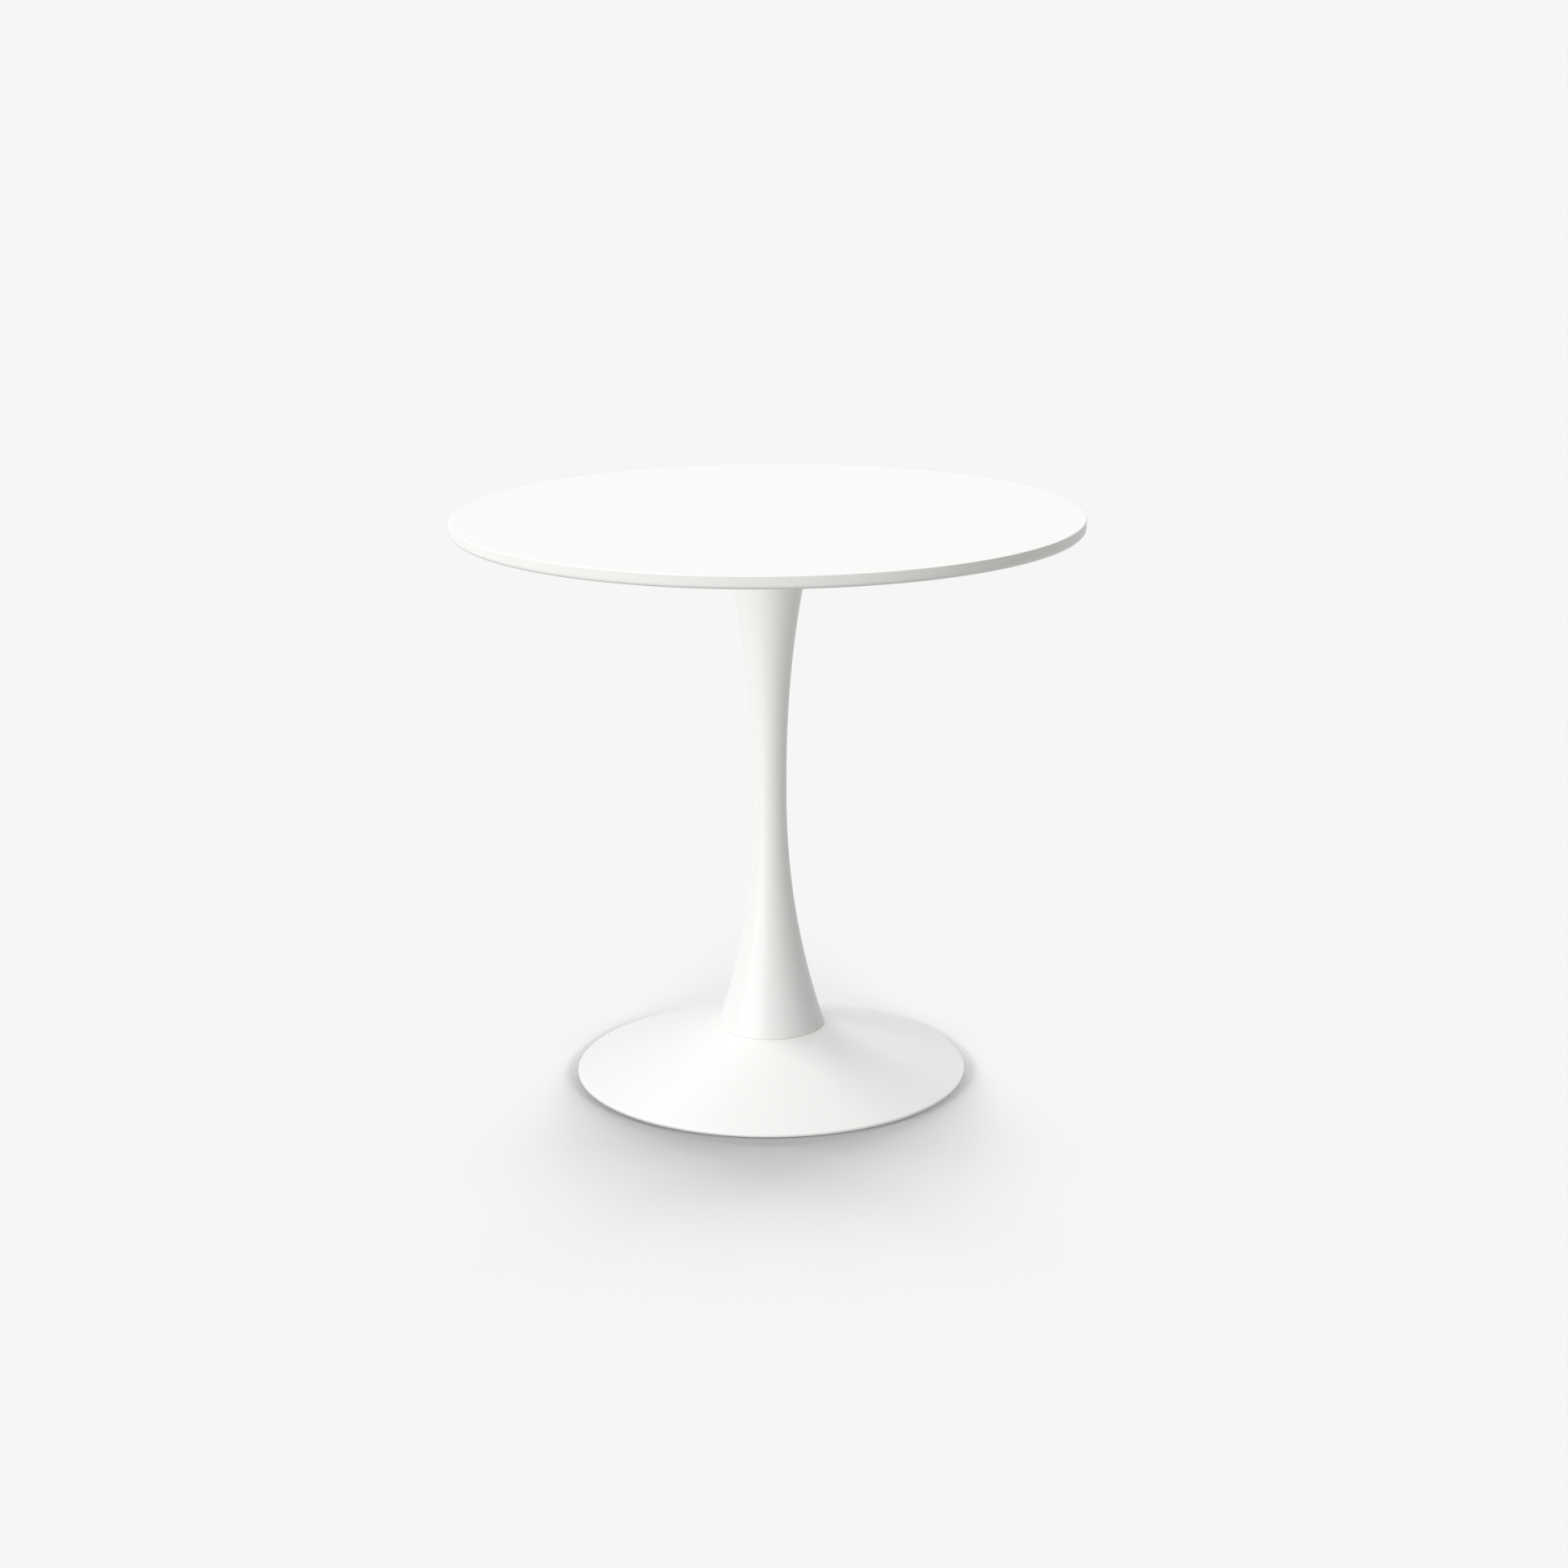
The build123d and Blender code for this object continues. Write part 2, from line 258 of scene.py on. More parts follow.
def turned(name, outline, segments, at=(0.0, 0.0), closed=True):
    """A mesh object turned from an outline of (radius, height) points round an upright axis."""
    shape = bmesh.new()
    rings = []
    for r, z in outline:
        if not callable(r) and r < 1e-9:
            rings.append([shape.verts.new((at[0], at[1], z))])
            continue
        ring = []
        for n in range(segments):
            angle = 2 * math.pi * n / segments
            radius = at_angle(r, angle)
            x = at[0] + radius * math.cos(angle)
            y = at[1] + radius * math.sin(angle)
            ring.append(shape.verts.new((x, y, at_angle(z, angle))))
        rings.append(ring)
    for a, b in zip(rings, rings[1:] + rings[:1] if closed else rings[1:]):
        for n in range(segments):
            m = (n + 1) % segments
            corners = [a[n % len(a)], a[m % len(a)], b[m % len(b)], b[n % len(b)]]
            distinct = list(dict.fromkeys(corners))
            if len(distinct) > 2:
                shape.faces.new(distinct)
    bmesh.ops.recalc_face_normals(shape, faces=shape.faces)
    return mesh_object(name, shape)


def plug(name, radius, low, high, segments=32, at=(0.0, 0.0)):
    """A plain round bar: a shank, or what a hole is cut with."""
    outline = [(0.0, low), (radius, low), (radius, high), (0.0, high)]
    return turned(name, outline, segments, at, closed=False)


def mesh_object(name, shape):
    """An object of this mesh, smooth, with its sharp edges kept sharp."""
    mesh = bpy.data.meshes.new(name)
    shape.to_mesh(mesh)
    shape.free()
    mesh.shade_smooth()
    mesh.set_sharp_from_angle(angle=EDGE_ANGLE)
    made = bpy.data.objects.new(name, mesh)
    bpy.context.scene.collection.objects.link(made)
    return made


def hexagon(flats):
    """The radius, at an angle, of a hexagon that measures so much across its flats."""
    return lambda angle: flats / 2 / math.cos((angle + math.pi / 6) % (math.pi / 3) - math.pi / 6)


def settle(made):
    """Turns an object and its modifiers into one plain mesh."""
    view = bpy.context.evaluated_depsgraph_get()
    mesh = bpy.data.meshes.new_from_object(made.evaluated_get(view))
    made.modifiers.clear()
    made.data = mesh
    mesh.shade_smooth()
    mesh.set_sharp_from_angle(angle=EDGE_ANGLE)
    return made


def discard(*objects):
    for made in objects:
        bpy.data.objects.remove(made)


def faces(made):
    return f"{made.name}: {len(made.data.polygons)} faces"


print("turning helpers ready")

# %% [markdown]
# ## The board
# The top is a 16 mm fibreboard disc. A router rounds its lower edge by 5 mm, so that it looks
# thin, and only breaks the upper one. It could be a cylinder with a bevel, but an outline of four
# corners says both roundings at once and keeps the flat faces free of shading creases.

# %% Board
HUB_R = 20 * MM  # inside it, a flat face is a fan of long triangles


def disc(name, low, high, lower_bend, upper_bend, segments):
    """A disc that fills a box, with its two edges rounded."""
    corners = [
        (HUB_R, low.z, 0),
        (high.x, low.z, lower_bend),
        (high.x, high.z, upper_bend),
        (HUB_R, high.z, 0),
    ]
    outline = [(0.0, low.z)] + rounded(corners, closed=False) + [(0.0, high.z)]
    return turned(name, outline, segments, closed=False)


board = disc("tabletop_board", board_low, board_high, BOARD_LOWER_R, BOARD_UPPER_R, segments=320)
print(faces(board))

# %% [markdown]
# ## The dish
# The foot is pressed from 1.6 mm sheet: a flat land for the stem, a straight slope, and a lip
# turned down at the rim. Its outline runs out along the outer face and back along the inner one,
# a wall's thickness away, so the sheet has real edges when it is seen from below.

# %% Dish
def dish_outline(depth, cut):
    """The dish from its centre hole to the lip's lower edge, a depth under its outer face."""
    lip_top = dish_low.z + DISH_LIP
    land_r = stem_high.x + DISH_LAND_MARGIN
    slope = math.atan2(dish_high.z - lip_top, dish_high.x - land_r)
    drop = depth / math.cos(slope)
    land_z = dish_high.z - depth
    corner_r = dish_high.x - (land_z - lip_top + drop) / math.tan(slope)
    lip_r = dish_high.x - depth
    lip_z = lip_top + depth * math.tan(slope) - drop
    return [
        (ROD_HOLE_R, land_z, 0),
        (corner_r, land_z, DISH_LAND_BEND_R - depth),
        (lip_r, lip_z, DISH_RIM_BEND_R - depth),
        (lip_r, dish_low.z, cut),
    ]


outer_side = dish_outline(0.0, DISH_CUT_R)
inner_side = dish_outline(DISH_WALL, DISH_CUT_R)
dish = turned("base_dish", rounded(outer_side + inner_side[::-1]), segments=256)
print(faces(dish))

# %% [markdown]
# ## The stem
# The stem is a tube spun to a trumpet at both ends. Its shape follows a rule: from the waist the
# radius grows with a power of the distance, a little faster towards the mouth than towards the
# foot. A rule is what Geometry Nodes do well: a flat grid is rolled up, its columns become
# angles and its rows become heights, and the sizes are inputs that can be turned like knobs.

# %% A geometry tree with named inputs
def start_tree(name, inputs):
    """A geometry tree with these inputs, and the wires of the inputs by name."""
    tree = bpy.data.node_groups.new(name, "GeometryNodeTree")
    tree.interface.new_socket("Geometry", in_out="INPUT", socket_type="NodeSocketGeometry")
    tree.interface.new_socket("Geometry", in_out="OUTPUT", socket_type="NodeSocketGeometry")
    for label, kind in inputs.items():
        tree.interface.new_socket(label, in_out="INPUT", socket_type=f"NodeSocket{kind}")
    entry = tree.nodes.new("NodeGroupInput")
    return tree, {label: Wire(tree, entry.outputs[label]) for label in inputs}


def end_tree(tree, geometry, material):
    """Realize Instances and Set Material, then the way out."""
    plain = geometry.node("GeometryNodeRealizeInstances", None, {"Geometry": geometry})
    values = {"Geometry": plain, "Material": material}
    finished = plain.node("GeometryNodeSetMaterial", None, values)
    way_out = tree.nodes.new("NodeGroupOutput")
    tree.links.new(finished.socket, way_out.inputs["Geometry"])


def grown(name, tree, start=None, **sizes):
    """The plain mesh object that a geometry tree makes at these sizes."""
    made = bpy.data.objects.new(name, start.copy() if start else bpy.data.meshes.new(name))
    bpy.context.scene.collection.objects.link(made)
    modifier = made.modifiers.new(name, "NODES")
    modifier.node_group = tree
    for item in tree.interface.items_tree:
        if item.in_out == "INPUT" and item.name in sizes:
            modifier[item.identifier] = sizes[item.name]
    made.update_tag()
    return settle(made)


def rolled_grid(wire, rows, segments):
    """A grid, with each point's turn (0 to 1) and height (0 to 1)."""
    values = {"Size X": 1.0, "Size Y": 1.0, "Vertices X": segments + 1, "Vertices Y": rows}
    grid = wire.node("GeometryNodeMeshGrid", None, values, "Mesh")
    place = wire.node("GeometryNodeInputPosition")
    return grid, place.axis("X") + 0.5, place.axis("Y") + 0.5


def wrapped(grid, turn, radius, height):
    """The grid rolled round the Z axis, with its seam welded."""
    angle = turn * (2 * math.pi)
    x = radius * grid.maths("COSINE", angle)
    y = radius * grid.maths("SINE", angle)
    where = grid.node("ShaderNodeCombineXYZ", None, {"X": x, "Y": y, "Z": height})
    moved = grid.node("GeometryNodeSetPosition", None, {"Geometry": grid, "Position": where})
    return moved.node("GeometryNodeMergeByDistance", None, {"Geometry": moved, "Distance": 1e-6})


print("geometry helpers ready")

# %% [markdown]
# ## Finishes
# Before the pieces can be made, their finishes are needed, because a geometry tree ends by
# setting one. Each finish is made from what it is on the real object. Paint and powder are never
# quite even: their gloss drifts over a hand's width, and they dry with a fine orange peel a few
# millimetres across. All patterns read Object coordinates, in metres, so a scale of 400 means
# waves of two and a half millimetres.

# %% Material helpers
def start_material(name):
    """A material, its Principled shader, and the wire of its Object coordinates."""
    material = bpy.data.materials.new(name)
    material.use_nodes = True
    tree = material.node_tree
    shader = tree.nodes["Principled BSDF"]
    place = Wire(tree).node("ShaderNodeTexCoord", None, None, "Object")
    return material, shader, place


def noise(place, scale, detail=2.0, rough=0.5):
    values = {"Vector": place, "Scale": scale, "Detail": detail, "Roughness": rough}
    return place.node("ShaderNodeTexNoise", None, values, "Fac")


def specks(place, scale, size):
    """1 in the middle of scattered specks, and 0 between them."""
    values = {"Vector": place, "Scale": scale}
    away = place.node("ShaderNodeTexVoronoi", None, values, "Distance")
    return 1.0 - away.step_up(0.0, size)


def bumped(shader, height, depth):
    """Feeds the shader's normal with a height of 0 to 1 that is so many metres deep."""
    values = {"Height": height, "Distance": depth, "Strength": 1.0}
    relief = height.node("ShaderNodeBump", None, values)
    relief.feed(shader.inputs["Normal"], relief)


def set_plain(shader, **values):
    for name, value in values.items():
        shader.inputs[name.replace("_", " ")].default_value = value


print("material helpers ready")

# %% [markdown]
# ### White lacquer
# The board is sprayed with a satin lacquer. Its upper face is rubbed out and almost flat; the
# underside gets one thin coat over raw fibreboard, so it is duller, a little greyer, and the
# fibres stand up in it. A mask on the height tells the two faces apart.

# %% White lacquer
LACQUER_WHITE = (0.872, 0.868, 0.855, 1.0)
LACQUER_UNDER = (0.835, 0.828, 0.808, 1.0)

lacquer, shader, place = start_material("satin_lacquer")
under_side = 1.0 - place.axis("Z").step_up(board_low.z + 0.2 * MM, board_low.z + 3.0 * MM)
drift = noise(place, 5.0, 3.0)
peel = noise(place, 300.0, 1.5)
fibre = noise(place, 900.0, 4.0, 0.65)
colour = under_side.blend(LACQUER_WHITE, LACQUER_UNDER)
colour = (0.035 * drift).blend(colour, (0.80, 0.79, 0.76, 1.0))
colour.feed(shader.inputs["Base Color"], colour)
gloss = 0.30 + 0.07 * drift + 0.03 * peel + under_side * (0.20 + 0.10 * fibre)
gloss.feed(shader.inputs["Roughness"], gloss)
bumped(shader, peel * (1.0 - 0.6 * under_side) + under_side * fibre * 2.0, 0.03 * MM)
set_plain(shader, IOR=1.49)
print(lacquer.name)

# %% [markdown]
# ### White powder coat
# Powder is melted onto the steel in an oven, and it never levels as flat as a lacquer: the
# orange peel is coarser and deeper, with now and then a nib where a grain of dust was baked in.
# Where the sheet's cut edge is sharp the powder draws back and is a touch thinner; this finish
# leaves that out.

# %% White powder coat
POWDER_WHITE = (0.810, 0.807, 0.797, 1.0)
POWDER_SHADE = (0.760, 0.754, 0.738, 1.0)

powder, shader, place = start_material("powder_coat")
drift = noise(place, 7.0, 3.0)
peel = noise(place, 420.0, 1.0)
peel_wide = noise(place, 130.0, 1.0)
nibs = specks(place, 45.0, 0.035)
colour = (0.05 * drift).blend(POWDER_WHITE, POWDER_SHADE)
colour.feed(shader.inputs["Base Color"], colour)
gloss = 0.30 + 0.08 * drift + 0.05 * peel
gloss.feed(shader.inputs["Roughness"], gloss)
bumped(shader, 0.7 * peel + 0.5 * peel_wide + 0.9 * nibs, 0.11 * MM)
set_plain(shader, IOR=1.50, Coat_Roughness=0.12, Coat_Weight=0.12)
print(powder.name)

# %% [markdown]
# ### Zinc-plated steel
# Screws, nuts, washers, the rod and the glide studs are bright zinc: a cool grey metal with a
# faint blue and straw bloom from its passivation, and dull smears where a spanner has been.

# %% Zinc
ZINC_COOL = (0.62, 0.645, 0.68, 1.0)
ZINC_STRAW = (0.70, 0.67, 0.585, 1.0)

zinc, shader, place = start_material("bright_zinc")
bloom = noise(place, 160.0, 2.0).step_up(0.35, 0.75)
grain = noise(place, 2600.0, 2.0)
smear = noise(place, 420.0, 3.0, 0.6)
colour = (0.55 * bloom).blend(ZINC_COOL, ZINC_STRAW)
colour.feed(shader.inputs["Base Color"], colour)
gloss = 0.24 + 0.22 * smear + 0.06 * grain
gloss.feed(shader.inputs["Roughness"], gloss)
bumped(shader, grain + 0.5 * smear, 0.004 * MM)
set_plain(shader, Metallic=1.0)
print(zinc.name)

# %% [markdown]
# ### Bare steel
# The two rings welded inside the stem are mill-finish plate: darker than zinc, with blue-black
# scale in patches. They also have a flush of heat colour, which this finish leaves out.

# %% Bare steel
STEEL_GREY = (0.42, 0.42, 0.43, 1.0)
STEEL_SCALE = (0.10, 0.105, 0.125, 1.0)

bare_steel, shader, place = start_material("mill_steel")
scale_patch = noise(place, 70.0, 5.0, 0.6).step_up(0.42, 0.62)
grain = noise(place, 1500.0, 2.0)
colour = scale_patch.blend(STEEL_GREY, STEEL_SCALE)
colour.feed(shader.inputs["Base Color"], colour)
gloss = 0.38 + 0.18 * scale_patch + 0.08 * grain
gloss.feed(shader.inputs["Roughness"], gloss)
bumped(shader, scale_patch + 0.3 * grain, 0.02 * MM)
set_plain(shader, Metallic=0.9)
print(bare_steel.name)

# %% [markdown]
# ### Cast iron
# The ballast comes from a sand mould and is dipped in thin black paint. The skin is grainy at
# half a millimetre and lumpy at a few millimetres. The faces that are milled flat after casting,
# under the four lugs and the boss, are bare grey iron: a mask finds them by their height.

# %% Cast iron
IRON_BLACK = (0.050, 0.051, 0.054, 1.0)
IRON_DUSTY = (0.115, 0.110, 0.103, 1.0)
IRON_MILLED = (0.36, 0.355, 0.35, 1.0)
lug_face_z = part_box("glide_stud_1")[0].z + STUD_COLLAR_TOP
boss_face_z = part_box("clamp_washer")[1].z
MILLED_BAND = 0.6 * MM
LUG_R = 12.0 * MM
BOSS_R = 40.0 * MM

iron, shader, place = start_material("dipped_iron")
height = place.axis("Z")


def flat_disc(across, along, radius, level):
    """1 on a level face within a radius of an axis, which is so far across and along."""
    near = (across * across + along * along) ** 0.5
    away = height.maths("ABSOLUTE", height - level)
    return (1.0 - near.step_up(radius, radius + 0.3 * MM)) * (1.0 - away.step_up(0.0, MILLED_BAND))


x, y = place.axis("X"), place.axis("Y")
to_lug = Vector((abs(glide_at.x), abs(glide_at.y)))
across = x.maths("ABSOLUTE", x) - to_lug.x
along = y.maths("ABSOLUTE", y) - to_lug.y
on_lug = flat_disc(across, along, LUG_R, lug_face_z)
on_boss = flat_disc(x, y, BOSS_R, boss_face_z)
milled = height.maths("MAXIMUM", on_lug, on_boss)
sand = noise(place, 1300.0, 3.0, 0.6)
lumps = noise(place, 190.0, 2.0)
patchy = noise(place, 28.0, 4.0, 0.6).step_up(0.4, 0.7)
dipped = (0.7 * patchy + 0.3 * sand).blend(IRON_BLACK, IRON_DUSTY)
colour = milled.blend(dipped, IRON_MILLED)
colour.feed(shader.inputs["Base Color"], colour)
gloss = (0.52 + 0.22 * patchy + 0.10 * sand) * (1.0 - milled) + milled * (0.30 + 0.15 * sand)
gloss.feed(shader.inputs["Roughness"], gloss)
milled.feed(shader.inputs["Metallic"], milled)
bumped(shader, (sand + 1.2 * lumps) * (1.0 - 0.93 * milled), 0.22 * MM)
print(iron.name)

# %% [markdown]
# ### Black nylon
# The pads are moulded in a spark-eroded tool, which leaves an even, very fine grain that breaks
# up the shine. The ground face picks up a grey haze of floor dust and scuffs.

# %% Nylon
NYLON_BLACK = (0.016, 0.016, 0.018, 1.0)
NYLON_DUSTY = (0.075, 0.072, 0.068, 1.0)

nylon, shader, place = start_material("black_nylon")
ground_face = 1.0 - place.axis("Z").step_up(0.2 * MM, 1.6 * MM)
spark = noise(place, 3200.0, 1.0)
scuff = noise(place, 240.0, 4.0, 0.65)
colour = (ground_face * scuff * 0.8).blend(NYLON_BLACK, NYLON_DUSTY)
colour.feed(shader.inputs["Base Color"], colour)
gloss = 0.42 + 0.08 * spark + ground_face * scuff * 0.25
gloss.feed(shader.inputs["Roughness"], gloss)
bumped(shader, spark + ground_face * scuff, 0.02 * MM)
print(nylon.name)

finishes = {
    "white_lacquer": lacquer,
    "white_powder_coat": powder,
    "bare_steel": bare_steel,
    "zinc_steel": zinc,
    "grey_iron": iron,
    "nylon": nylon,
}

# %% [markdown]
# ## The stem, made by its rule
# The tree rolls the grid into the outer face. The wall's thickness is added after it, inwards, and
# both cut ends get the small rounding that a real tube has: it is this rounding that draws the
# thin line where the stem stands on the dish.

# %% Stem
stem_sizes = {
    "Foot radius": stem_high.x,
    "Waist radius": STEM_WAIST_R,
    "Mouth radius": STEM_MOUTH_R,
    "Foot height": stem_low.z,
    "Waist height": STEM_WAIST_Z,
    "Mouth height": stem_high.z,
    "Foot power": STEM_FOOT_POWER,
    "Mouth power": STEM_MOUTH_POWER,
}
tree, size = start_tree("trumpet_stem", dict.fromkeys(stem_sizes, "Float"))
grid, turn, rise = rolled_grid(size["Foot radius"], rows=140, segments=144)
height = size["Foot height"] + rise * (size["Mouth height"] - size["Foot height"])
down = (size["Waist height"] - height) / (size["Waist height"] - size["Foot height"])
up = (height - size["Waist height"]) / (size["Mouth height"] - size["Waist height"])
down = down.maths("MAXIMUM", down, 0.0) ** size["Foot power"]
up = up.maths("MAXIMUM", up, 0.0) ** size["Mouth power"]
foot_flare = (size["Foot radius"] - size["Waist radius"]) * down
mouth_flare = (size["Mouth radius"] - size["Waist radius"]) * up
radius = size["Waist radius"] + foot_flare + mouth_flare
end_tree(tree, wrapped(grid, turn, radius, height), powder)

stem = grown("trumpet_stem", tree, **stem_sizes)
wall = stem.modifiers.new("wall", "SOLIDIFY")
wall.thickness = STEM_WALL
wall.offset = -1.0
wall.use_even_offset = True
settle(stem)
for point in stem.data.vertices:
    point.co.z = min(max(point.co.z, stem_low.z), stem_high.z)
ends = stem.modifiers.new("ends", "BEVEL")
ends.width = STEM_END_R
ends.segments = 4
ends.limit_method = "ANGLE"
ends.angle_limit = math.radians(50)
settle(stem)
print(faces(stem))

# %% [markdown]
# ## Threads
# A thread is one rule too: on a rolled grid the radius goes up and down with the height, and the
# height runs ahead by one pitch in each turn. Both ends are chamfered, so the ridge fades out
# there, and the first and last rows close to the axis. The same tree makes every threaded bar.

# %% Threaded bar
ROWS_PER_PITCH = 8
THREAD_SEGMENTS = 32

bar_inputs = dict.fromkeys(("Radius", "Depth", "Pitch", "Low", "High", "Chamfer"), "Float")
tree, size = start_tree("threaded_bar", bar_inputs | {"Rows": "Int", "Material": "Material"})
grid, turn, rise = rolled_grid(size["Radius"], rows=size["Rows"], segments=THREAD_SEGMENTS)
row = rise * (size["Rows"] - 1.0)
lift = (row - 1.0) / (size["Rows"] - 3.0)
lift = lift.maths("MINIMUM", lift.maths("MAXIMUM", lift, 0.0), 1.0)
height = size["Low"] + lift * (size["High"] - size["Low"])
wave = height.maths("PINGPONG", height / size["Pitch"] - turn, 0.5) * 2.0
groove = (1.0 - wave).step_up(0.12, 0.88)
from_end = height.maths("MINIMUM", height - size["Low"], size["High"] - height)
radius = height.maths(
    "MINIMUM",
    size["Radius"] - size["Depth"] * groove,
    size["Radius"] - size["Chamfer"] + from_end,
)
inside = row.maths("GREATER_THAN", row, 0.5) * row.maths("LESS_THAN", row, size["Rows"] - 1.5)
end_tree(tree, wrapped(grid, turn, radius * inside, height), size["Material"])
thread_tree = tree


def threaded_bar(name, radius, pitch, low, high, chamfer):
    """A zinc-plated bar from low to high with a metric thread all along it."""
    return grown(
        name,
        thread_tree,
        Radius=radius,
        Depth=THREAD_DEPTH_SHARE * pitch,
        Pitch=pitch,
        Low=low,
        High=high,
        Chamfer=chamfer,
        Rows=round((high - low) / pitch * ROWS_PER_PITCH) + 3,
        Material=zinc,
    )


def joined(name, *pieces):
    """One object that holds the meshes of several, which are used up."""
    shape = bmesh.new()
    for piece in pieces:
        shape.from_mesh(piece.data)
    discard(*pieces)
    return mesh_object(name, shape)


print("threads ready")

# %% [markdown]
# ## The tie rod
# A rod runs down inside the stem and pulls it onto the dish. Only its ends are threaded: where
# the plate's nut sits at the top, and where the big nut is tightened under the ballast.

# %% Tie rod
ROD_LOW_THREAD = 48 * MM
ROD_HIGH_THREAD = 32 * MM
shank_low = rod_low.z + ROD_LOW_THREAD
shank_high = rod_high.z - ROD_HIGH_THREAD
rod = joined(
    "tie_rod_threaded",
    threaded_bar("rod_foot", M12_R, M12_PITCH, rod_low.z, shank_low, 1.0 * MM),
    plug("shank", M12_R, shank_low, shank_high, segments=48),
    threaded_bar("rod_head", M12_R, M12_PITCH, shank_high, rod_high.z, 1.0 * MM),
)
print(faces(rod))

# %% [markdown]
# ## Nuts and washers
# A nut is a hexagon whose corners are turned away at 30 degrees. Turned as a ring whose radius
# depends on the angle, it gets those curved chamfer lines as a real nut does: at each angle the
# top outline keeps to the smaller of the hexagon and the cone.

# %% Nuts and washers
CHAMFER_SLOPE = math.tan(math.radians(30))
CONE_SHARE = 0.97  # of the flats: where the corners start to be turned away
BORE_CHAMFER = 0.6 * MM


def nut(name, flats, hole_r, low, high, segments=96):
    """A hexagon nut with both ends chamfered."""
    side = hexagon(flats)
    cone_r = flats / 2 * CONE_SHARE

    def corner_height(angle):
        return max(0.0, side(angle) - cone_r) * CHAMFER_SLOPE

    return turned(
        name,
        [
            (hole_r, low + BORE_CHAMFER),
            (hole_r + BORE_CHAMFER, low),
            (cone_r, low),
            (side, lambda angle: low + corner_height(angle)),
            (side, lambda angle: high - corner_height(angle)),
            (cone_r, high),
            (hole_r + BORE_CHAMFER, high),
            (hole_r, high - BORE_CHAMFER),
        ],
        segments,
    )


def ring_section(inner_r, outer_r, low, high, edge, steps=3):
    """The outline of a flat ring with all four edges rounded."""
    corners = [
        (inner_r, low, edge),
        (outer_r, low, edge),
        (outer_r, high, edge),
        (inner_r, high, edge),
    ]
    return rounded(corners, steps)


def washer(name, inner_r, outer_r, low, high, edge, segments=64):
    return turned(name, ring_section(inner_r, outer_r, low, high, edge), segments)


tie_nut = nut("tie_nut_chamfered", nut_high.y * 2, M12_R, nut_low.z, nut_high.z)
clamp_low, clamp_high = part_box("clamp_washer")
clamp = washer("clamp_washer_turned", ROD_HOLE_R, clamp_high.x, clamp_low.z, clamp_high.z, 0.4 * MM)
print(faces(tie_nut), "|", faces(clamp))

# %% [markdown]
# The spring washer is a bar of square section wound once and cut on a slant, so it is swept as a
# ring that stops short of itself, its two ends cut on the slant. A free washer has one end a
# little higher than the other; here both ends lie at the same height.

# %% Spring washer
SPLIT = 2.0 * MM
SPLIT_SLOPE = math.tan(math.radians(30))
SPRING_STEPS = 72
spring_low, spring_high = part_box("spring_washer")
spring_middle_z = (spring_low.z + spring_high.z) / 2
section = ring_section(ROD_HOLE_R, spring_high.y, spring_low.z, spring_high.z, 0.3 * MM, steps=2)
shape = bmesh.new()
sections = []
for n in range(SPRING_STEPS + 1):
    loop = []
    for r, z in section:
        slant = (z - spring_middle_z) * SPLIT_SLOPE
        first = (SPLIT / 2 - slant) / r
        last = 2 * math.pi - (SPLIT / 2 + slant) / r
        angle = first + (last - first) * n / SPRING_STEPS
        loop.append(shape.verts.new((r * math.cos(angle), r * math.sin(angle), z)))
    sections.append(loop)
for a, b in zip(sections, sections[1:]):
    for n in range(len(a)):
        m = (n + 1) % len(a)
        shape.faces.new((a[n], a[m], b[m], b[n]))
shape.faces.new(sections[0])
shape.faces.new(sections[-1])
bmesh.ops.recalc_face_normals(shape, faces=shape.faces)
spring = mesh_object("spring_washer_split", shape)
print(faces(spring))

# %% [markdown]
# ## Copies round a circle
# The top plate has six screws, six washers and six holes on one circle. A tree sets copies of
# a single piece round it. Each copy may be turned by its own amount, as screws are when they have
# been tightened, from a fixed seed.

# %% Ring of copies
ring_inputs = {"Count": "Int", "Circle radius": "Float", "Turn by": "Float", "Seed": "Int"}
tree, size = start_tree("ring_of_copies", ring_inputs | {"Material": "Material"})
one = Wire(tree, next(n for n in tree.nodes if n.type == "GROUP_INPUT").outputs["Geometry"])
values = {"Vertices": size["Count"], "Radius": size["Circle radius"]}
points = one.node("GeometryNodeMeshCircle", None, values)
values = {"Max": size["Turn by"], "Seed": size["Seed"]}
spin = one.node("FunctionNodeRandomValue", {"data_type": "FLOAT"}, values, 1)
turn_z = one.node("ShaderNodeCombineXYZ", None, {"Z": spin})
values = {"Points": points, "Instance": one, "Rotation": turn_z}
copies = one.node("GeometryNodeInstanceOnPoints", None, values)
end_tree(tree, copies, size["Material"])
ring_tree = tree


def ring_of(name, single, count, circle_r, turn_by, seed, material):
    """The plain mesh of copies round a circle; the single one is used up."""
    sizes = {"Count": count, "Circle radius": circle_r, "Turn by": turn_by, "Seed": seed}
    made = grown(name, ring_tree, start=single.data, Material=material, **sizes)
    discard(single)
    return made


print("ring helper ready")

# %% [markdown]
# ## Screws round the top plate
# Pan-head screws hold the plate to the board from below. One is made at the origin: a head with
# a rounded crown and a hexagon socket, over a thread. The ring tree sets out the six, each turned
# its own way, and then the washers under their heads, which are all turned alike.

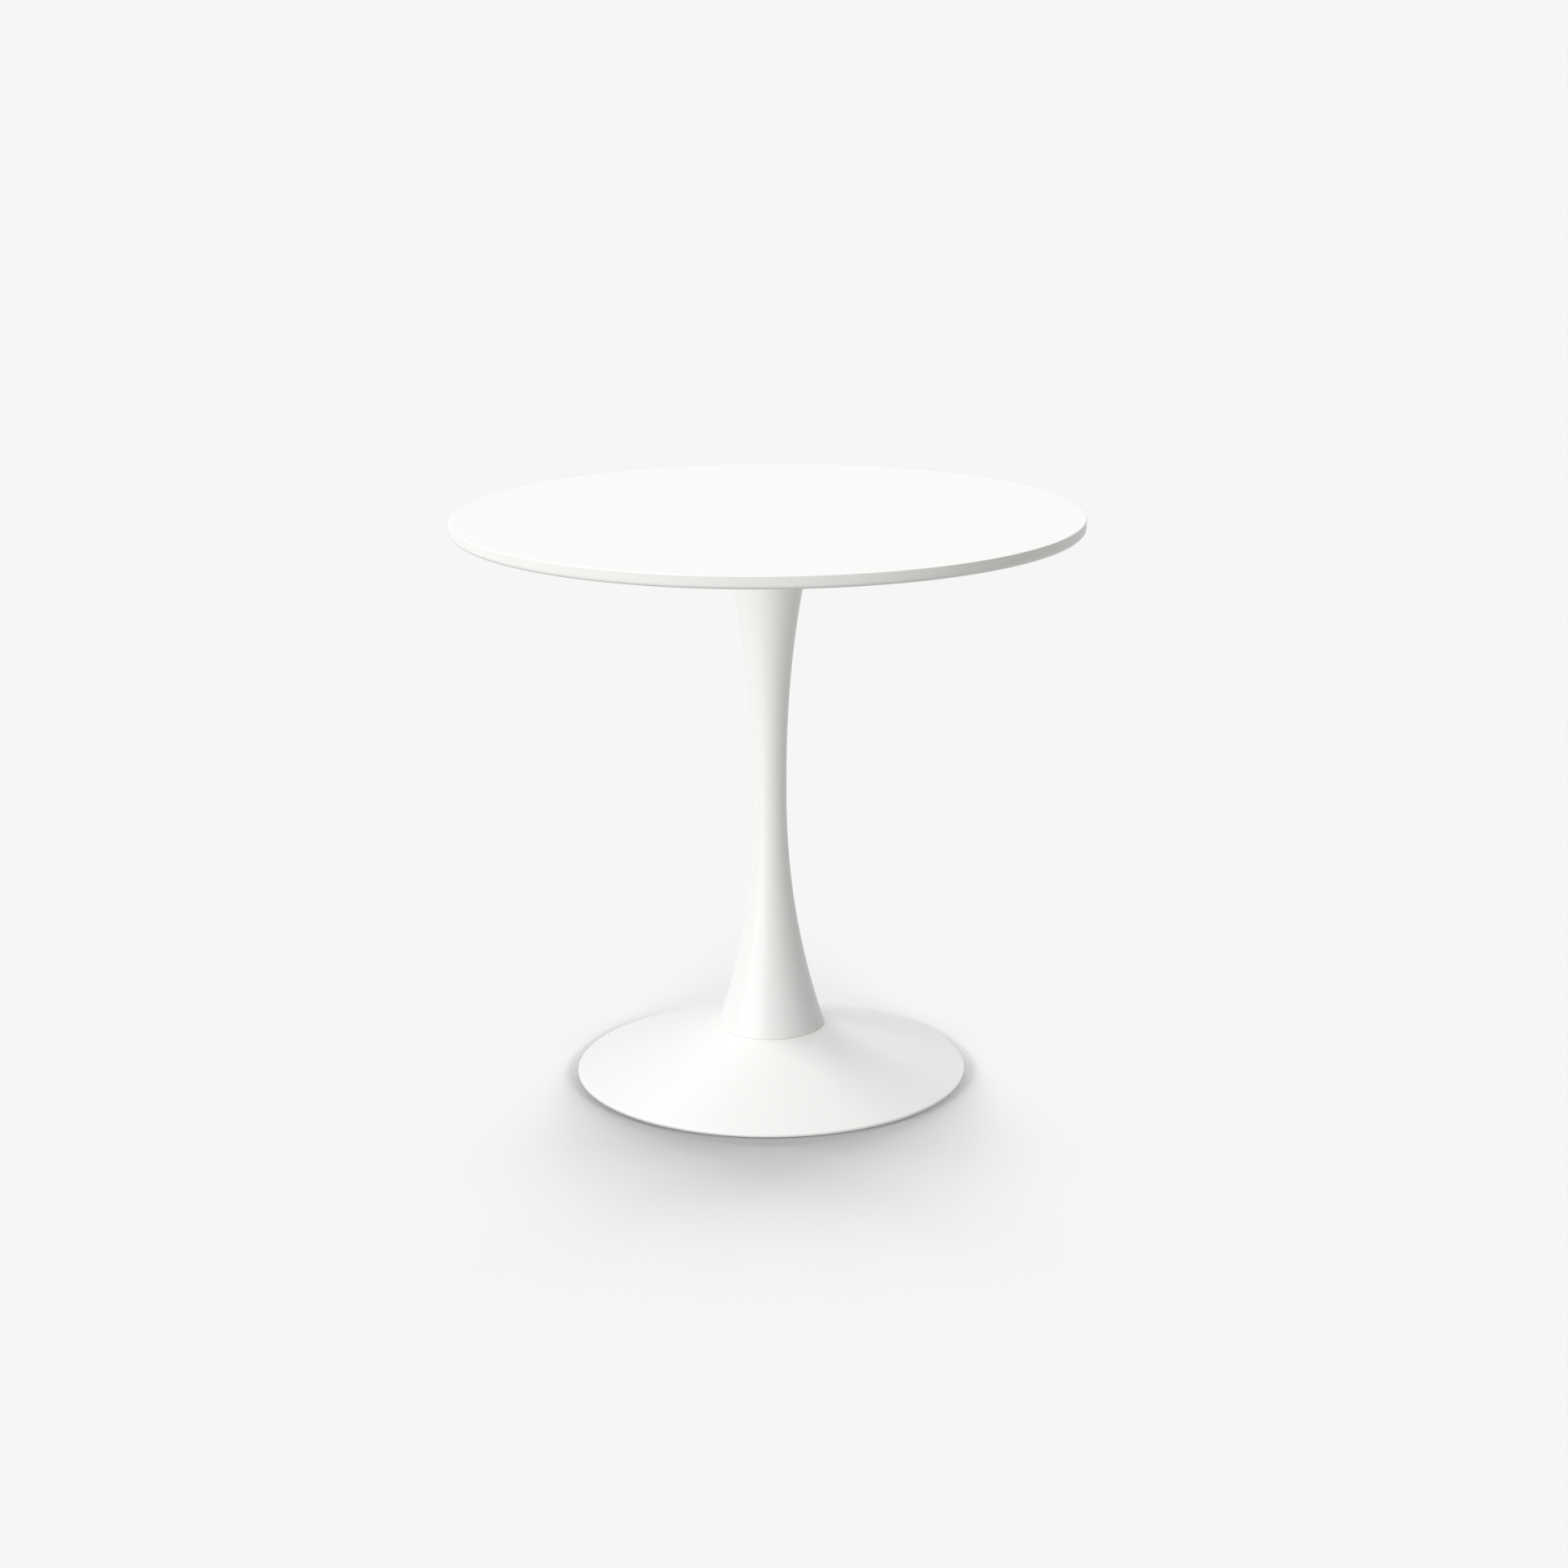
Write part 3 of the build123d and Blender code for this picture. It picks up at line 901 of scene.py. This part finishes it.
# %% Screws
screw_low, screw_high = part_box("top_screws")
washer_low, washer_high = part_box("screw_washers")
head_high = screw_low.z + SCREW_HEAD_H
socket_floor = screw_low.z + SCREW_SOCKET_DEPTH
socket_side = hexagon(SCREW_SOCKET_FLATS)
crown = rounded(
    [
        (SCREW_SOCKET_FLATS * 0.62, screw_low.z, 0),
        (SCREW_HEAD_R * 0.80, screw_low.z + 0.05 * MM, 0.6 * MM),
        (SCREW_HEAD_R, screw_low.z + SCREW_HEAD_H * 0.55, 1.0 * MM),
        (SCREW_HEAD_R, head_high, 0.15 * MM),
        (0.0, head_high, 0),
    ],
    steps=4,
    closed=False,
)
screw_head = turned(
    "screw_head",
    [(0.0, socket_floor - 0.4 * MM), (SCREW_SOCKET_FLATS * 0.4, socket_floor)]
    + [(socket_side, socket_floor), (socket_side, screw_low.z + 0.2 * MM)]
    + crown,
    segments=48,
    closed=False,
)
screw = joined(
    "screw",
    screw_head,
    threaded_bar("screw_thread", M6_R, M6_PITCH, head_high, screw_high.z, 0.6 * MM),
)
screws = ring_of("plate_screws", screw, SCREW_COUNT, SCREW_CIRCLE_R, math.pi / 3, 7, zinc)
washer_r = washer_high.x - SCREW_CIRCLE_R
one_washer = washer("one_washer", SCREW_HOLE_R, washer_r, washer_low.z, washer_high.z, 0.2 * MM, 40)
washers = ring_of("plate_screw_washers", one_washer, SCREW_COUNT, SCREW_CIRCLE_R, 0.0, 0, zinc)
print(faces(screws), "|", faces(washers))

# %% [markdown]
# ## The top plate
# A laser-cut disc with softened edges and a hole for each screw. The holes are cut with a
# boolean by the same ring tree, from one plug, so plate, screws and washers agree on the circle.

# %% Top plate
plate = disc("mounting_plate", plate_low, plate_high, PLATE_EDGE_R, PLATE_EDGE_R, segments=160)


def cut(piece, cutter):
    """The piece without the cutter, which is used up."""
    bore = piece.modifiers.new("bore", "BOOLEAN")
    bore.object = cutter
    bore.solver = "EXACT"
    settle(piece)
    discard(cutter)


def without_slivers(piece):
    """Dissolves the slivers that a cut leaves where it passes very close to a point."""
    shape = bmesh.new()
    shape.from_mesh(piece.data)
    bmesh.ops.dissolve_degenerate(shape, edges=shape.edges, dist=0.01 * MM)
    shape.to_mesh(piece.data)
    shape.free()


hole = plug("screw_hole", SCREW_HOLE_R, plate_low.z - 1 * MM, plate_high.z + 1 * MM)
cut(plate, ring_of("screw_holes", hole, SCREW_COUNT, SCREW_CIRCLE_R, 0.0, 0, powder))
without_slivers(plate)
print(faces(plate))

# %% [markdown]
# ## The weld
# The stem's mouth is welded to the plate all round, from outside. A hand-run bead is a row of
# overlapping scales: its radius swells and sinks a few times in each centimetre, never quite
# evenly. The whole of it is under the powder coat.

# %% Weld bead
BEAD = 3.2 * MM
SCALE_LENGTH = 3.4 * MM
mouth_z = stem_high.z
mouth_slope = (STEM_MOUTH_R - STEM_WAIST_R) * STEM_MOUTH_POWER / (mouth_z - STEM_WAIST_Z)
BEAD_SINK = 0.4 * MM
scale_count = round(2 * math.pi * STEM_MOUTH_R / SCALE_LENGTH)


def bead_radius(share):
    """The bead's radius by angle, a share of the way from the plate (0) to the stem (1)."""

    def radius(angle):
        ripple = 0.5 + 0.5 * math.cos(scale_count * angle + 0.8 * math.sin(5 * angle) - 2.2 * share)
        swell = 1.0 + 0.10 * ripple + 0.05 * math.sin(3 * angle + 1.0)
        out = BEAD * (math.cos(share * math.pi / 2) ** 1.4) * swell
        wall = STEM_MOUTH_R - mouth_slope * BEAD * share
        rounding = BEAD_SINK * math.sin(share * math.pi)
        return wall - BEAD_SINK + 0.95 * max(0.0, out) + rounding

    return radius


BEAD_STEPS = 6
BEAD_ROOT = 1.5 * MM  # how far the weld reaches into the tube's wall
bead_outline = [(STEM_MOUTH_R - BEAD_ROOT, mouth_z)]
for n in range(BEAD_STEPS + 1):
    bead_outline.append((bead_radius(n / BEAD_STEPS), mouth_z - BEAD * n / BEAD_STEPS))
bead_outline.append((STEM_MOUTH_R - mouth_slope * BEAD - BEAD_ROOT, mouth_z - BEAD))
weld = turned("weld_bead", bead_outline, segments=scale_count * 7)
print(faces(weld), f"{scale_count} scales")

# %% [markdown]
# ## The ballast casting
# The heavy casting under the dish has soft inside corners everywhere, because sand can't hold a
# sharp one. The model's own mesh has the right walls and ribs but hard corners, so a copy is
# remeshed into even small faces and then smoothed: each corner melts into a fillet, while the
# broad faces stay where they are. The ribs run at 45 degrees, across the remesher's grid, so the
# copy is turned to lie along it first and turned back after: the ribs' edges come out straight.

# %% Ballast casting
CAST_VOXEL = 2.2 * MM
SOFTEN_ROUNDS = 14
LUG_BORE_R = 4.0 * MM
RIM_TRIM = 1.2 * MM
ALONG_RIBS = Matrix.Rotation(math.radians(45), 4, "Z")
shape = bmesh.new()
shape.from_mesh(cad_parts["ballast_casting"].data)
bmesh.ops.remove_doubles(shape, verts=shape.verts, dist=1e-6)
shape.transform(ALONG_RIBS)
casting = mesh_object("ballast_sand_cast", shape)
remesh = casting.modifiers.new("even faces", "REMESH")
remesh.mode = "VOXEL"
remesh.voxel_size = CAST_VOXEL
soften = casting.modifiers.new("fillets", "SMOOTH")
soften.factor = 0.6
soften.iterations = SOFTEN_ROUNDS
settle(casting)
casting.data.transform(ALONG_RIBS.inverted())
bore_low = cast_low.z - 1 * MM
bore_high = cast_high.z + 1 * MM
for n in range(1, 5):
    low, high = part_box(f"glide_stud_{n}")
    centre = (low + high) / 2
    cut(casting, plug("lug_bore", LUG_BORE_R, bore_low, bore_high, at=(centre.x, centre.y)))
cut(casting, plug("rod_bore", ROD_HOLE_R, bore_low, bore_high, segments=48))
trim_r = cast_high.x - RIM_TRIM
rim = [(trim_r, 0.0), (dish_high.x, 0.0), (dish_high.x, dish_high.z), (trim_r, dish_high.z)]
cut(casting, turned("rim_trim", rim, segments=220))
without_slivers(casting)
casting.data.shade_smooth()
print(faces(casting))

# %% [markdown]
# ## The glides
# Each glide is a swivelling nylon pad on a levelling stud. The stud has a thread, a hexagon
# collar for a spanner, a neck, and a round head that snaps into the pad. The pad is a low disc
# with a rounded edge, a pocket for the head, and a shallow moulding ring on the ground face.

# %% Glides
COLLAR_FLATS = 13 * MM
NECK_R = 5 * MM
NECK_CLEAR = 0.3 * MM
HEAD_CLEAR = 0.1 * MM
PAD_EDGE_R = 1.2 * MM
GROUND_RING_R = 13.5 * MM
GROUND_HOLLOW = 0.35 * MM
STUD_HEAD_TOP = 2.6 * MM
STUD_COLLAR_LOW = 4.3 * MM
STUD_CORE_R = 0.5 * MM

studs = []
pads = []
for n in range(1, 5):
    low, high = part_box(f"glide_stud_{n}")
    centre = (low + high) / 2
    at = (centre.x, centre.y)
    head_r = high.y - centre.y
    head_top = low.z + STUD_HEAD_TOP
    collar_low = low.z + STUD_COLLAR_LOW
    neck_top = collar_low + 0.5 * MM
    corners = [
        (STUD_CORE_R, low.z, 0),
        (head_r, low.z, 0.7 * MM),
        (head_r, head_top, 0.3 * MM),
        (NECK_R, head_top, 0.3 * MM),
        (NECK_R, neck_top, 0),
    ]
    outline = [(0.0, low.z)] + rounded(corners, steps=3, closed=False) + [(0.0, neck_top)]
    head = turned("head", outline, segments=48, at=at, closed=False)
    collar = nut("collar", COLLAR_FLATS, 2.5 * MM, collar_low, lug_face_z, segments=72)
    collar.data.transform(Matrix.Translation((centre.x, centre.y, 0)))
    thread = threaded_bar("thread", M8_R, M8_PITCH, lug_face_z - 0.3 * MM, high.z, 0.8 * MM)
    thread.data.transform(Matrix.Translation((centre.x, centre.y, 0)))
    studs.append(joined(f"levelling_stud_{n}", head, collar, thread))

    low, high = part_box(f"glide_pad_{n}")
    hollow_z = low.z + GROUND_HOLLOW
    pad_r = high.x - centre.x
    pocket_r = head_r + HEAD_CLEAR
    mouth_r = NECK_R + NECK_CLEAR
    floor_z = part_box(f"glide_stud_{n}")[0].z - HEAD_CLEAR
    corners = [
        (STUD_CORE_R, hollow_z, 0),
        (GROUND_RING_R - 1.0 * MM, hollow_z, 0.3 * MM),
        (GROUND_RING_R, low.z, 0.3 * MM),
        (pad_r, low.z, PAD_EDGE_R),
        (pad_r, high.z, PAD_EDGE_R),
        (mouth_r, high.z, 0.3 * MM),
        (mouth_r, head_top + HEAD_CLEAR, 0.1 * MM),
        (pocket_r, head_top + HEAD_CLEAR, 0.1 * MM),
        (pocket_r, floor_z, 0.1 * MM),
        (STUD_CORE_R, floor_z, 0),
    ]
    outline = [(0.0, hollow_z)] + rounded(corners, steps=4, closed=False) + [(0.0, floor_z)]
    pads.append(turned(f"glide_pad_moulded_{n}", outline, segments=72, at=at, closed=False))
print(faces(studs[0]), "|", faces(pads[0]))

# %% [markdown]
# ## Who rides on what
# Every new piece gets its finish, moves with its body of the frame, and hides the imported piece
# that it stands for, where there is one. The inserts, pins, rings and the inner nut keep their own
# meshes: they sit in holes or inside the stem, and only need their finish.

# %% Riding
made_pieces = [
    (board, "table", "white_lacquer", ["table_top"]),
    (plate, "table", "white_powder_coat", ["top_plate"]),
    (screws, "table", "zinc_steel", ["top_screws"]),
    (washers, "table", "zinc_steel", ["screw_washers"]),
    (stem, "table", "white_powder_coat", ["stem_shell"]),
    (weld, "table", "white_powder_coat", []),
    (dish, "table", "white_powder_coat", ["base_shell"]),
    (casting, "table", "grey_iron", ["ballast_casting"]),
    (rod, "table", "zinc_steel", ["tie_rod"]),
    (clamp, "table", "zinc_steel", ["clamp_washer"]),
    (spring, "table", "zinc_steel", ["spring_washer"]),
    (tie_nut, "table", "zinc_steel", ["tie_nut"]),
]
for n in range(4):
    made_pieces.append((studs[n], f"stud_{n + 1}", "zinc_steel", [f"glide_stud_{n + 1}"]))
    made_pieces.append((pads[n], f"pad_{n + 1}", "nylon", [f"glide_pad_{n + 1}"]))

for piece, body, slot, nodes in made_pieces:
    piece.data.materials.clear()
    piece.data.materials.append(finishes[slot])
    for face in piece.data.polygons:
        face.material_index = 0
    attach(piece, body)
    if nodes:
        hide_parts(*nodes)

replaced = {name for _, _, _, nodes in made_pieces for name in nodes}
for name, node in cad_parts.items():
    if name in replaced:
        continue
    for slot in node.material_slots:
        slot.material = finishes[slot.material.name.split(".")[0]]
triangles = sum(len(p.vertices) - 2 for piece, *_ in made_pieces for p in piece.data.polygons)
print(len(made_pieces), "pieces,", triangles, "triangles")

# %% [markdown]
# ## Floor
# One flat floor runs to the horizon, so there is no edge or fold behind the table. The camera
# sees it pale; the light it throws back up is a little weaker, as from a real studio floor that
# is only lit near the table. The world behind it has the same tone, so the horizon doesn't show.

# %% Floor
FLOOR_TONE = 0.922
SKY_LIGHT = 0.36
FLOOR_LIGHT = 8.0
BOUNCE_LIGHT = 0.52
BOUNCE_TINT = (1.015, 1.0, 0.965)
FLOOR_HALF = 150.0


def seen_directly(wire):
    """1 for what the camera sees, straight or in a reflection, and 0 for light thrown about."""
    straight = wire.node("ShaderNodeLightPath", None, None, "Is Camera Ray")
    outputs = straight.socket.node.outputs
    mirrored = Wire(wire.tree, pick(outputs, "Is Glossy Ray"))
    through = Wire(wire.tree, pick(outputs, "Is Transmission Ray"))
    return straight.maths("MINIMUM", straight + mirrored + through, 1.0)


floor_mesh = bpy.data.meshes.new("floor")
h = FLOOR_HALF
floor_mesh.from_pydata([(-h, -h, 0), (h, -h, 0), (h, h, 0), (-h, h, 0)], [], [(0, 1, 2, 3)])
floor = bpy.data.objects.new("floor", floor_mesh)
bpy.context.scene.collection.objects.link(floor)
floor_paint, shader, place = start_material("floor_paint")
seen_tone = FLOOR_TONE / (SKY_LIGHT + FLOOR_LIGHT)
bounce_tone = BOUNCE_LIGHT / (SKY_LIGHT + FLOOR_LIGHT)
bounce_colour = (*[tint * bounce_tone for tint in BOUNCE_TINT], 1.0)
colour = seen_directly(place).blend(bounce_colour, (seen_tone, seen_tone, seen_tone, 1.0))
colour.feed(shader.inputs["Base Color"], colour)
set_plain(shader, Roughness=1.0, Specular_IOR_Level=0.0)
floor.data.materials.append(floor_paint)

world = bpy.data.worlds.new("studio")
world.use_nodes = True
bpy.context.scene.world = world
backdrop = world.node_tree.nodes["Background"]
light = seen_directly(Wire(world.node_tree)) * (FLOOR_TONE - SKY_LIGHT) + SKY_LIGHT
light.feed(backdrop.inputs["Strength"], light)
backdrop.inputs["Color"].default_value = (1.0, 1.0, 1.0, 1.0)
print(f"floor tone {seen_tone:.3f}")

# %% [markdown]
# ## Light
# The board is flat, the stem is upright and the dish slopes, so one set of lamps would leave one
# of them dull or bleach another. Light linking gives each its own suns instead: a key lamp
# from the left and a little in front, a weaker side lamp from behind on the same side, and, for
# the stem and the dish, a front lamp that fills. Only the stem and the dish throw shadows in that
# light, and the board where it keeps the front lamp off the stem.
#
# A sun's strength and height are set by two numbers that are easy to judge: how much it adds to
# an upright face that meets it, and how much to a level one.

# %% Lamps for the table
KEY_AZIMUTH = -137
SIDE_AZIMUTH = 139
FRONT_AZIMUTH = -95
FRONT_DOWN = 0.2  # of what the front lamp adds to an upright face


def sun(name, azimuth, across, down, spread, receivers, blockers):
    """A sun that adds so much to a face that meets it upright, and so much to a level one."""
    lamp = bpy.data.objects.new(name, bpy.data.lights.new(name, "SUN"))
    lamp.data.energy = math.pi * math.hypot(across, down)
    lamp.data.angle = math.radians(spread)
    turn = math.radians(azimuth)
    towards = Vector((across * math.cos(turn), across * math.sin(turn), down))
    lamp.rotation_euler = towards.to_track_quat("Z", "Y").to_euler()
    bpy.context.scene.collection.objects.link(lamp)
    lamp.light_linking.receiver_collection = receivers
    lamp.light_linking.blocker_collection = blockers
    elevation = math.degrees(math.atan2(down, across))
    print(f"{name}: {elevation:.0f} degrees up, strength {lamp.data.energy:.2f}")


def group(name, objects):
    """A collection for light linking, which shows nothing by itself."""
    made = bpy.data.collections.new(name)
    for item in objects:
        made.objects.link(item)
    return made


curved = [stem, weld, dish]
flat_things = [piece for piece, *_ in made_pieces if piece not in curved]
flat_things += [node for name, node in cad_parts.items() if name not in replaced]
shadow_group = group("shadow_casters", [stem, dish])
with_board = group("with_board", [board, stem, dish])

lamp_sets = {
    "board": {"lit": flat_things, "key": 0.60, "front": 0.0, "down": 0.37, "spread": 24},
    "stem": {"lit": [stem, weld], "key": 0.58, "front": 0.08, "down": 0.13, "spread": 60},
    "dish": {"lit": [dish], "key": 0.14, "front": 0.34, "down": 0.305, "spread": 24},
}
SIDE_ACROSS = 0.20

for name, one in lamp_sets.items():
    lit = group(f"lit_{name}", one["lit"])
    down, spread = one["down"], one["spread"]
    sun(f"key_lamp_{name}", KEY_AZIMUTH, one["key"], down, spread, lit, shadow_group)
    sun(f"side_lamp_{name}", SIDE_AZIMUTH, SIDE_ACROSS, down, spread, lit, shadow_group)
    if one["front"]:
        blockers = with_board if name == "stem" else shadow_group
        front_down = one["front"] * FRONT_DOWN
        sun(f"front_lamp_{name}", FRONT_AZIMUTH, one["front"], front_down, spread, lit, blockers)

# %% [markdown]
# The floor's light is shared among lamps of its own, and the dish alone blocks them. Five low
# ones in the back stretch its shadow to the front, two at the back's sides and three in front
# close it all round, and the last, from high up, is a fill that nothing on the floor blocks.

# %% Lamps for the floor
BACK = 90
FRONT = -90
dish_only = group("dish_only", [dish])
floor_group = group("lit_floor", [floor])

# Each row: azimuth, degrees up, share of the floor's light, spread, and what blocks it.
floor_lamps = [(BACK + turn, 7, 0.08, 6, dish_only) for turn in (-24, -12, 0, 12, 24)]
floor_lamps += [(BACK + turn, 10, 0.075, 8, dish_only) for turn in (-42, 42)]
floor_lamps += [(FRONT, 9, 0.085, 8, dish_only)]
floor_lamps += [(FRONT + turn, 19, 0.13, 12, dish_only) for turn in (-60, 60)]
floor_lamps += [(BACK, 80, 0.105, 60, floor_group)]
for n, (azimuth, height, share, spread, blockers) in enumerate(floor_lamps):
    down = FLOOR_LIGHT * share
    across = down / math.tan(math.radians(height))
    sun(f"floor_lamp_{n + 1}", azimuth, across, down, spread, floor_group, blockers)

bpy.context.scene.view_settings.view_transform = "Standard"
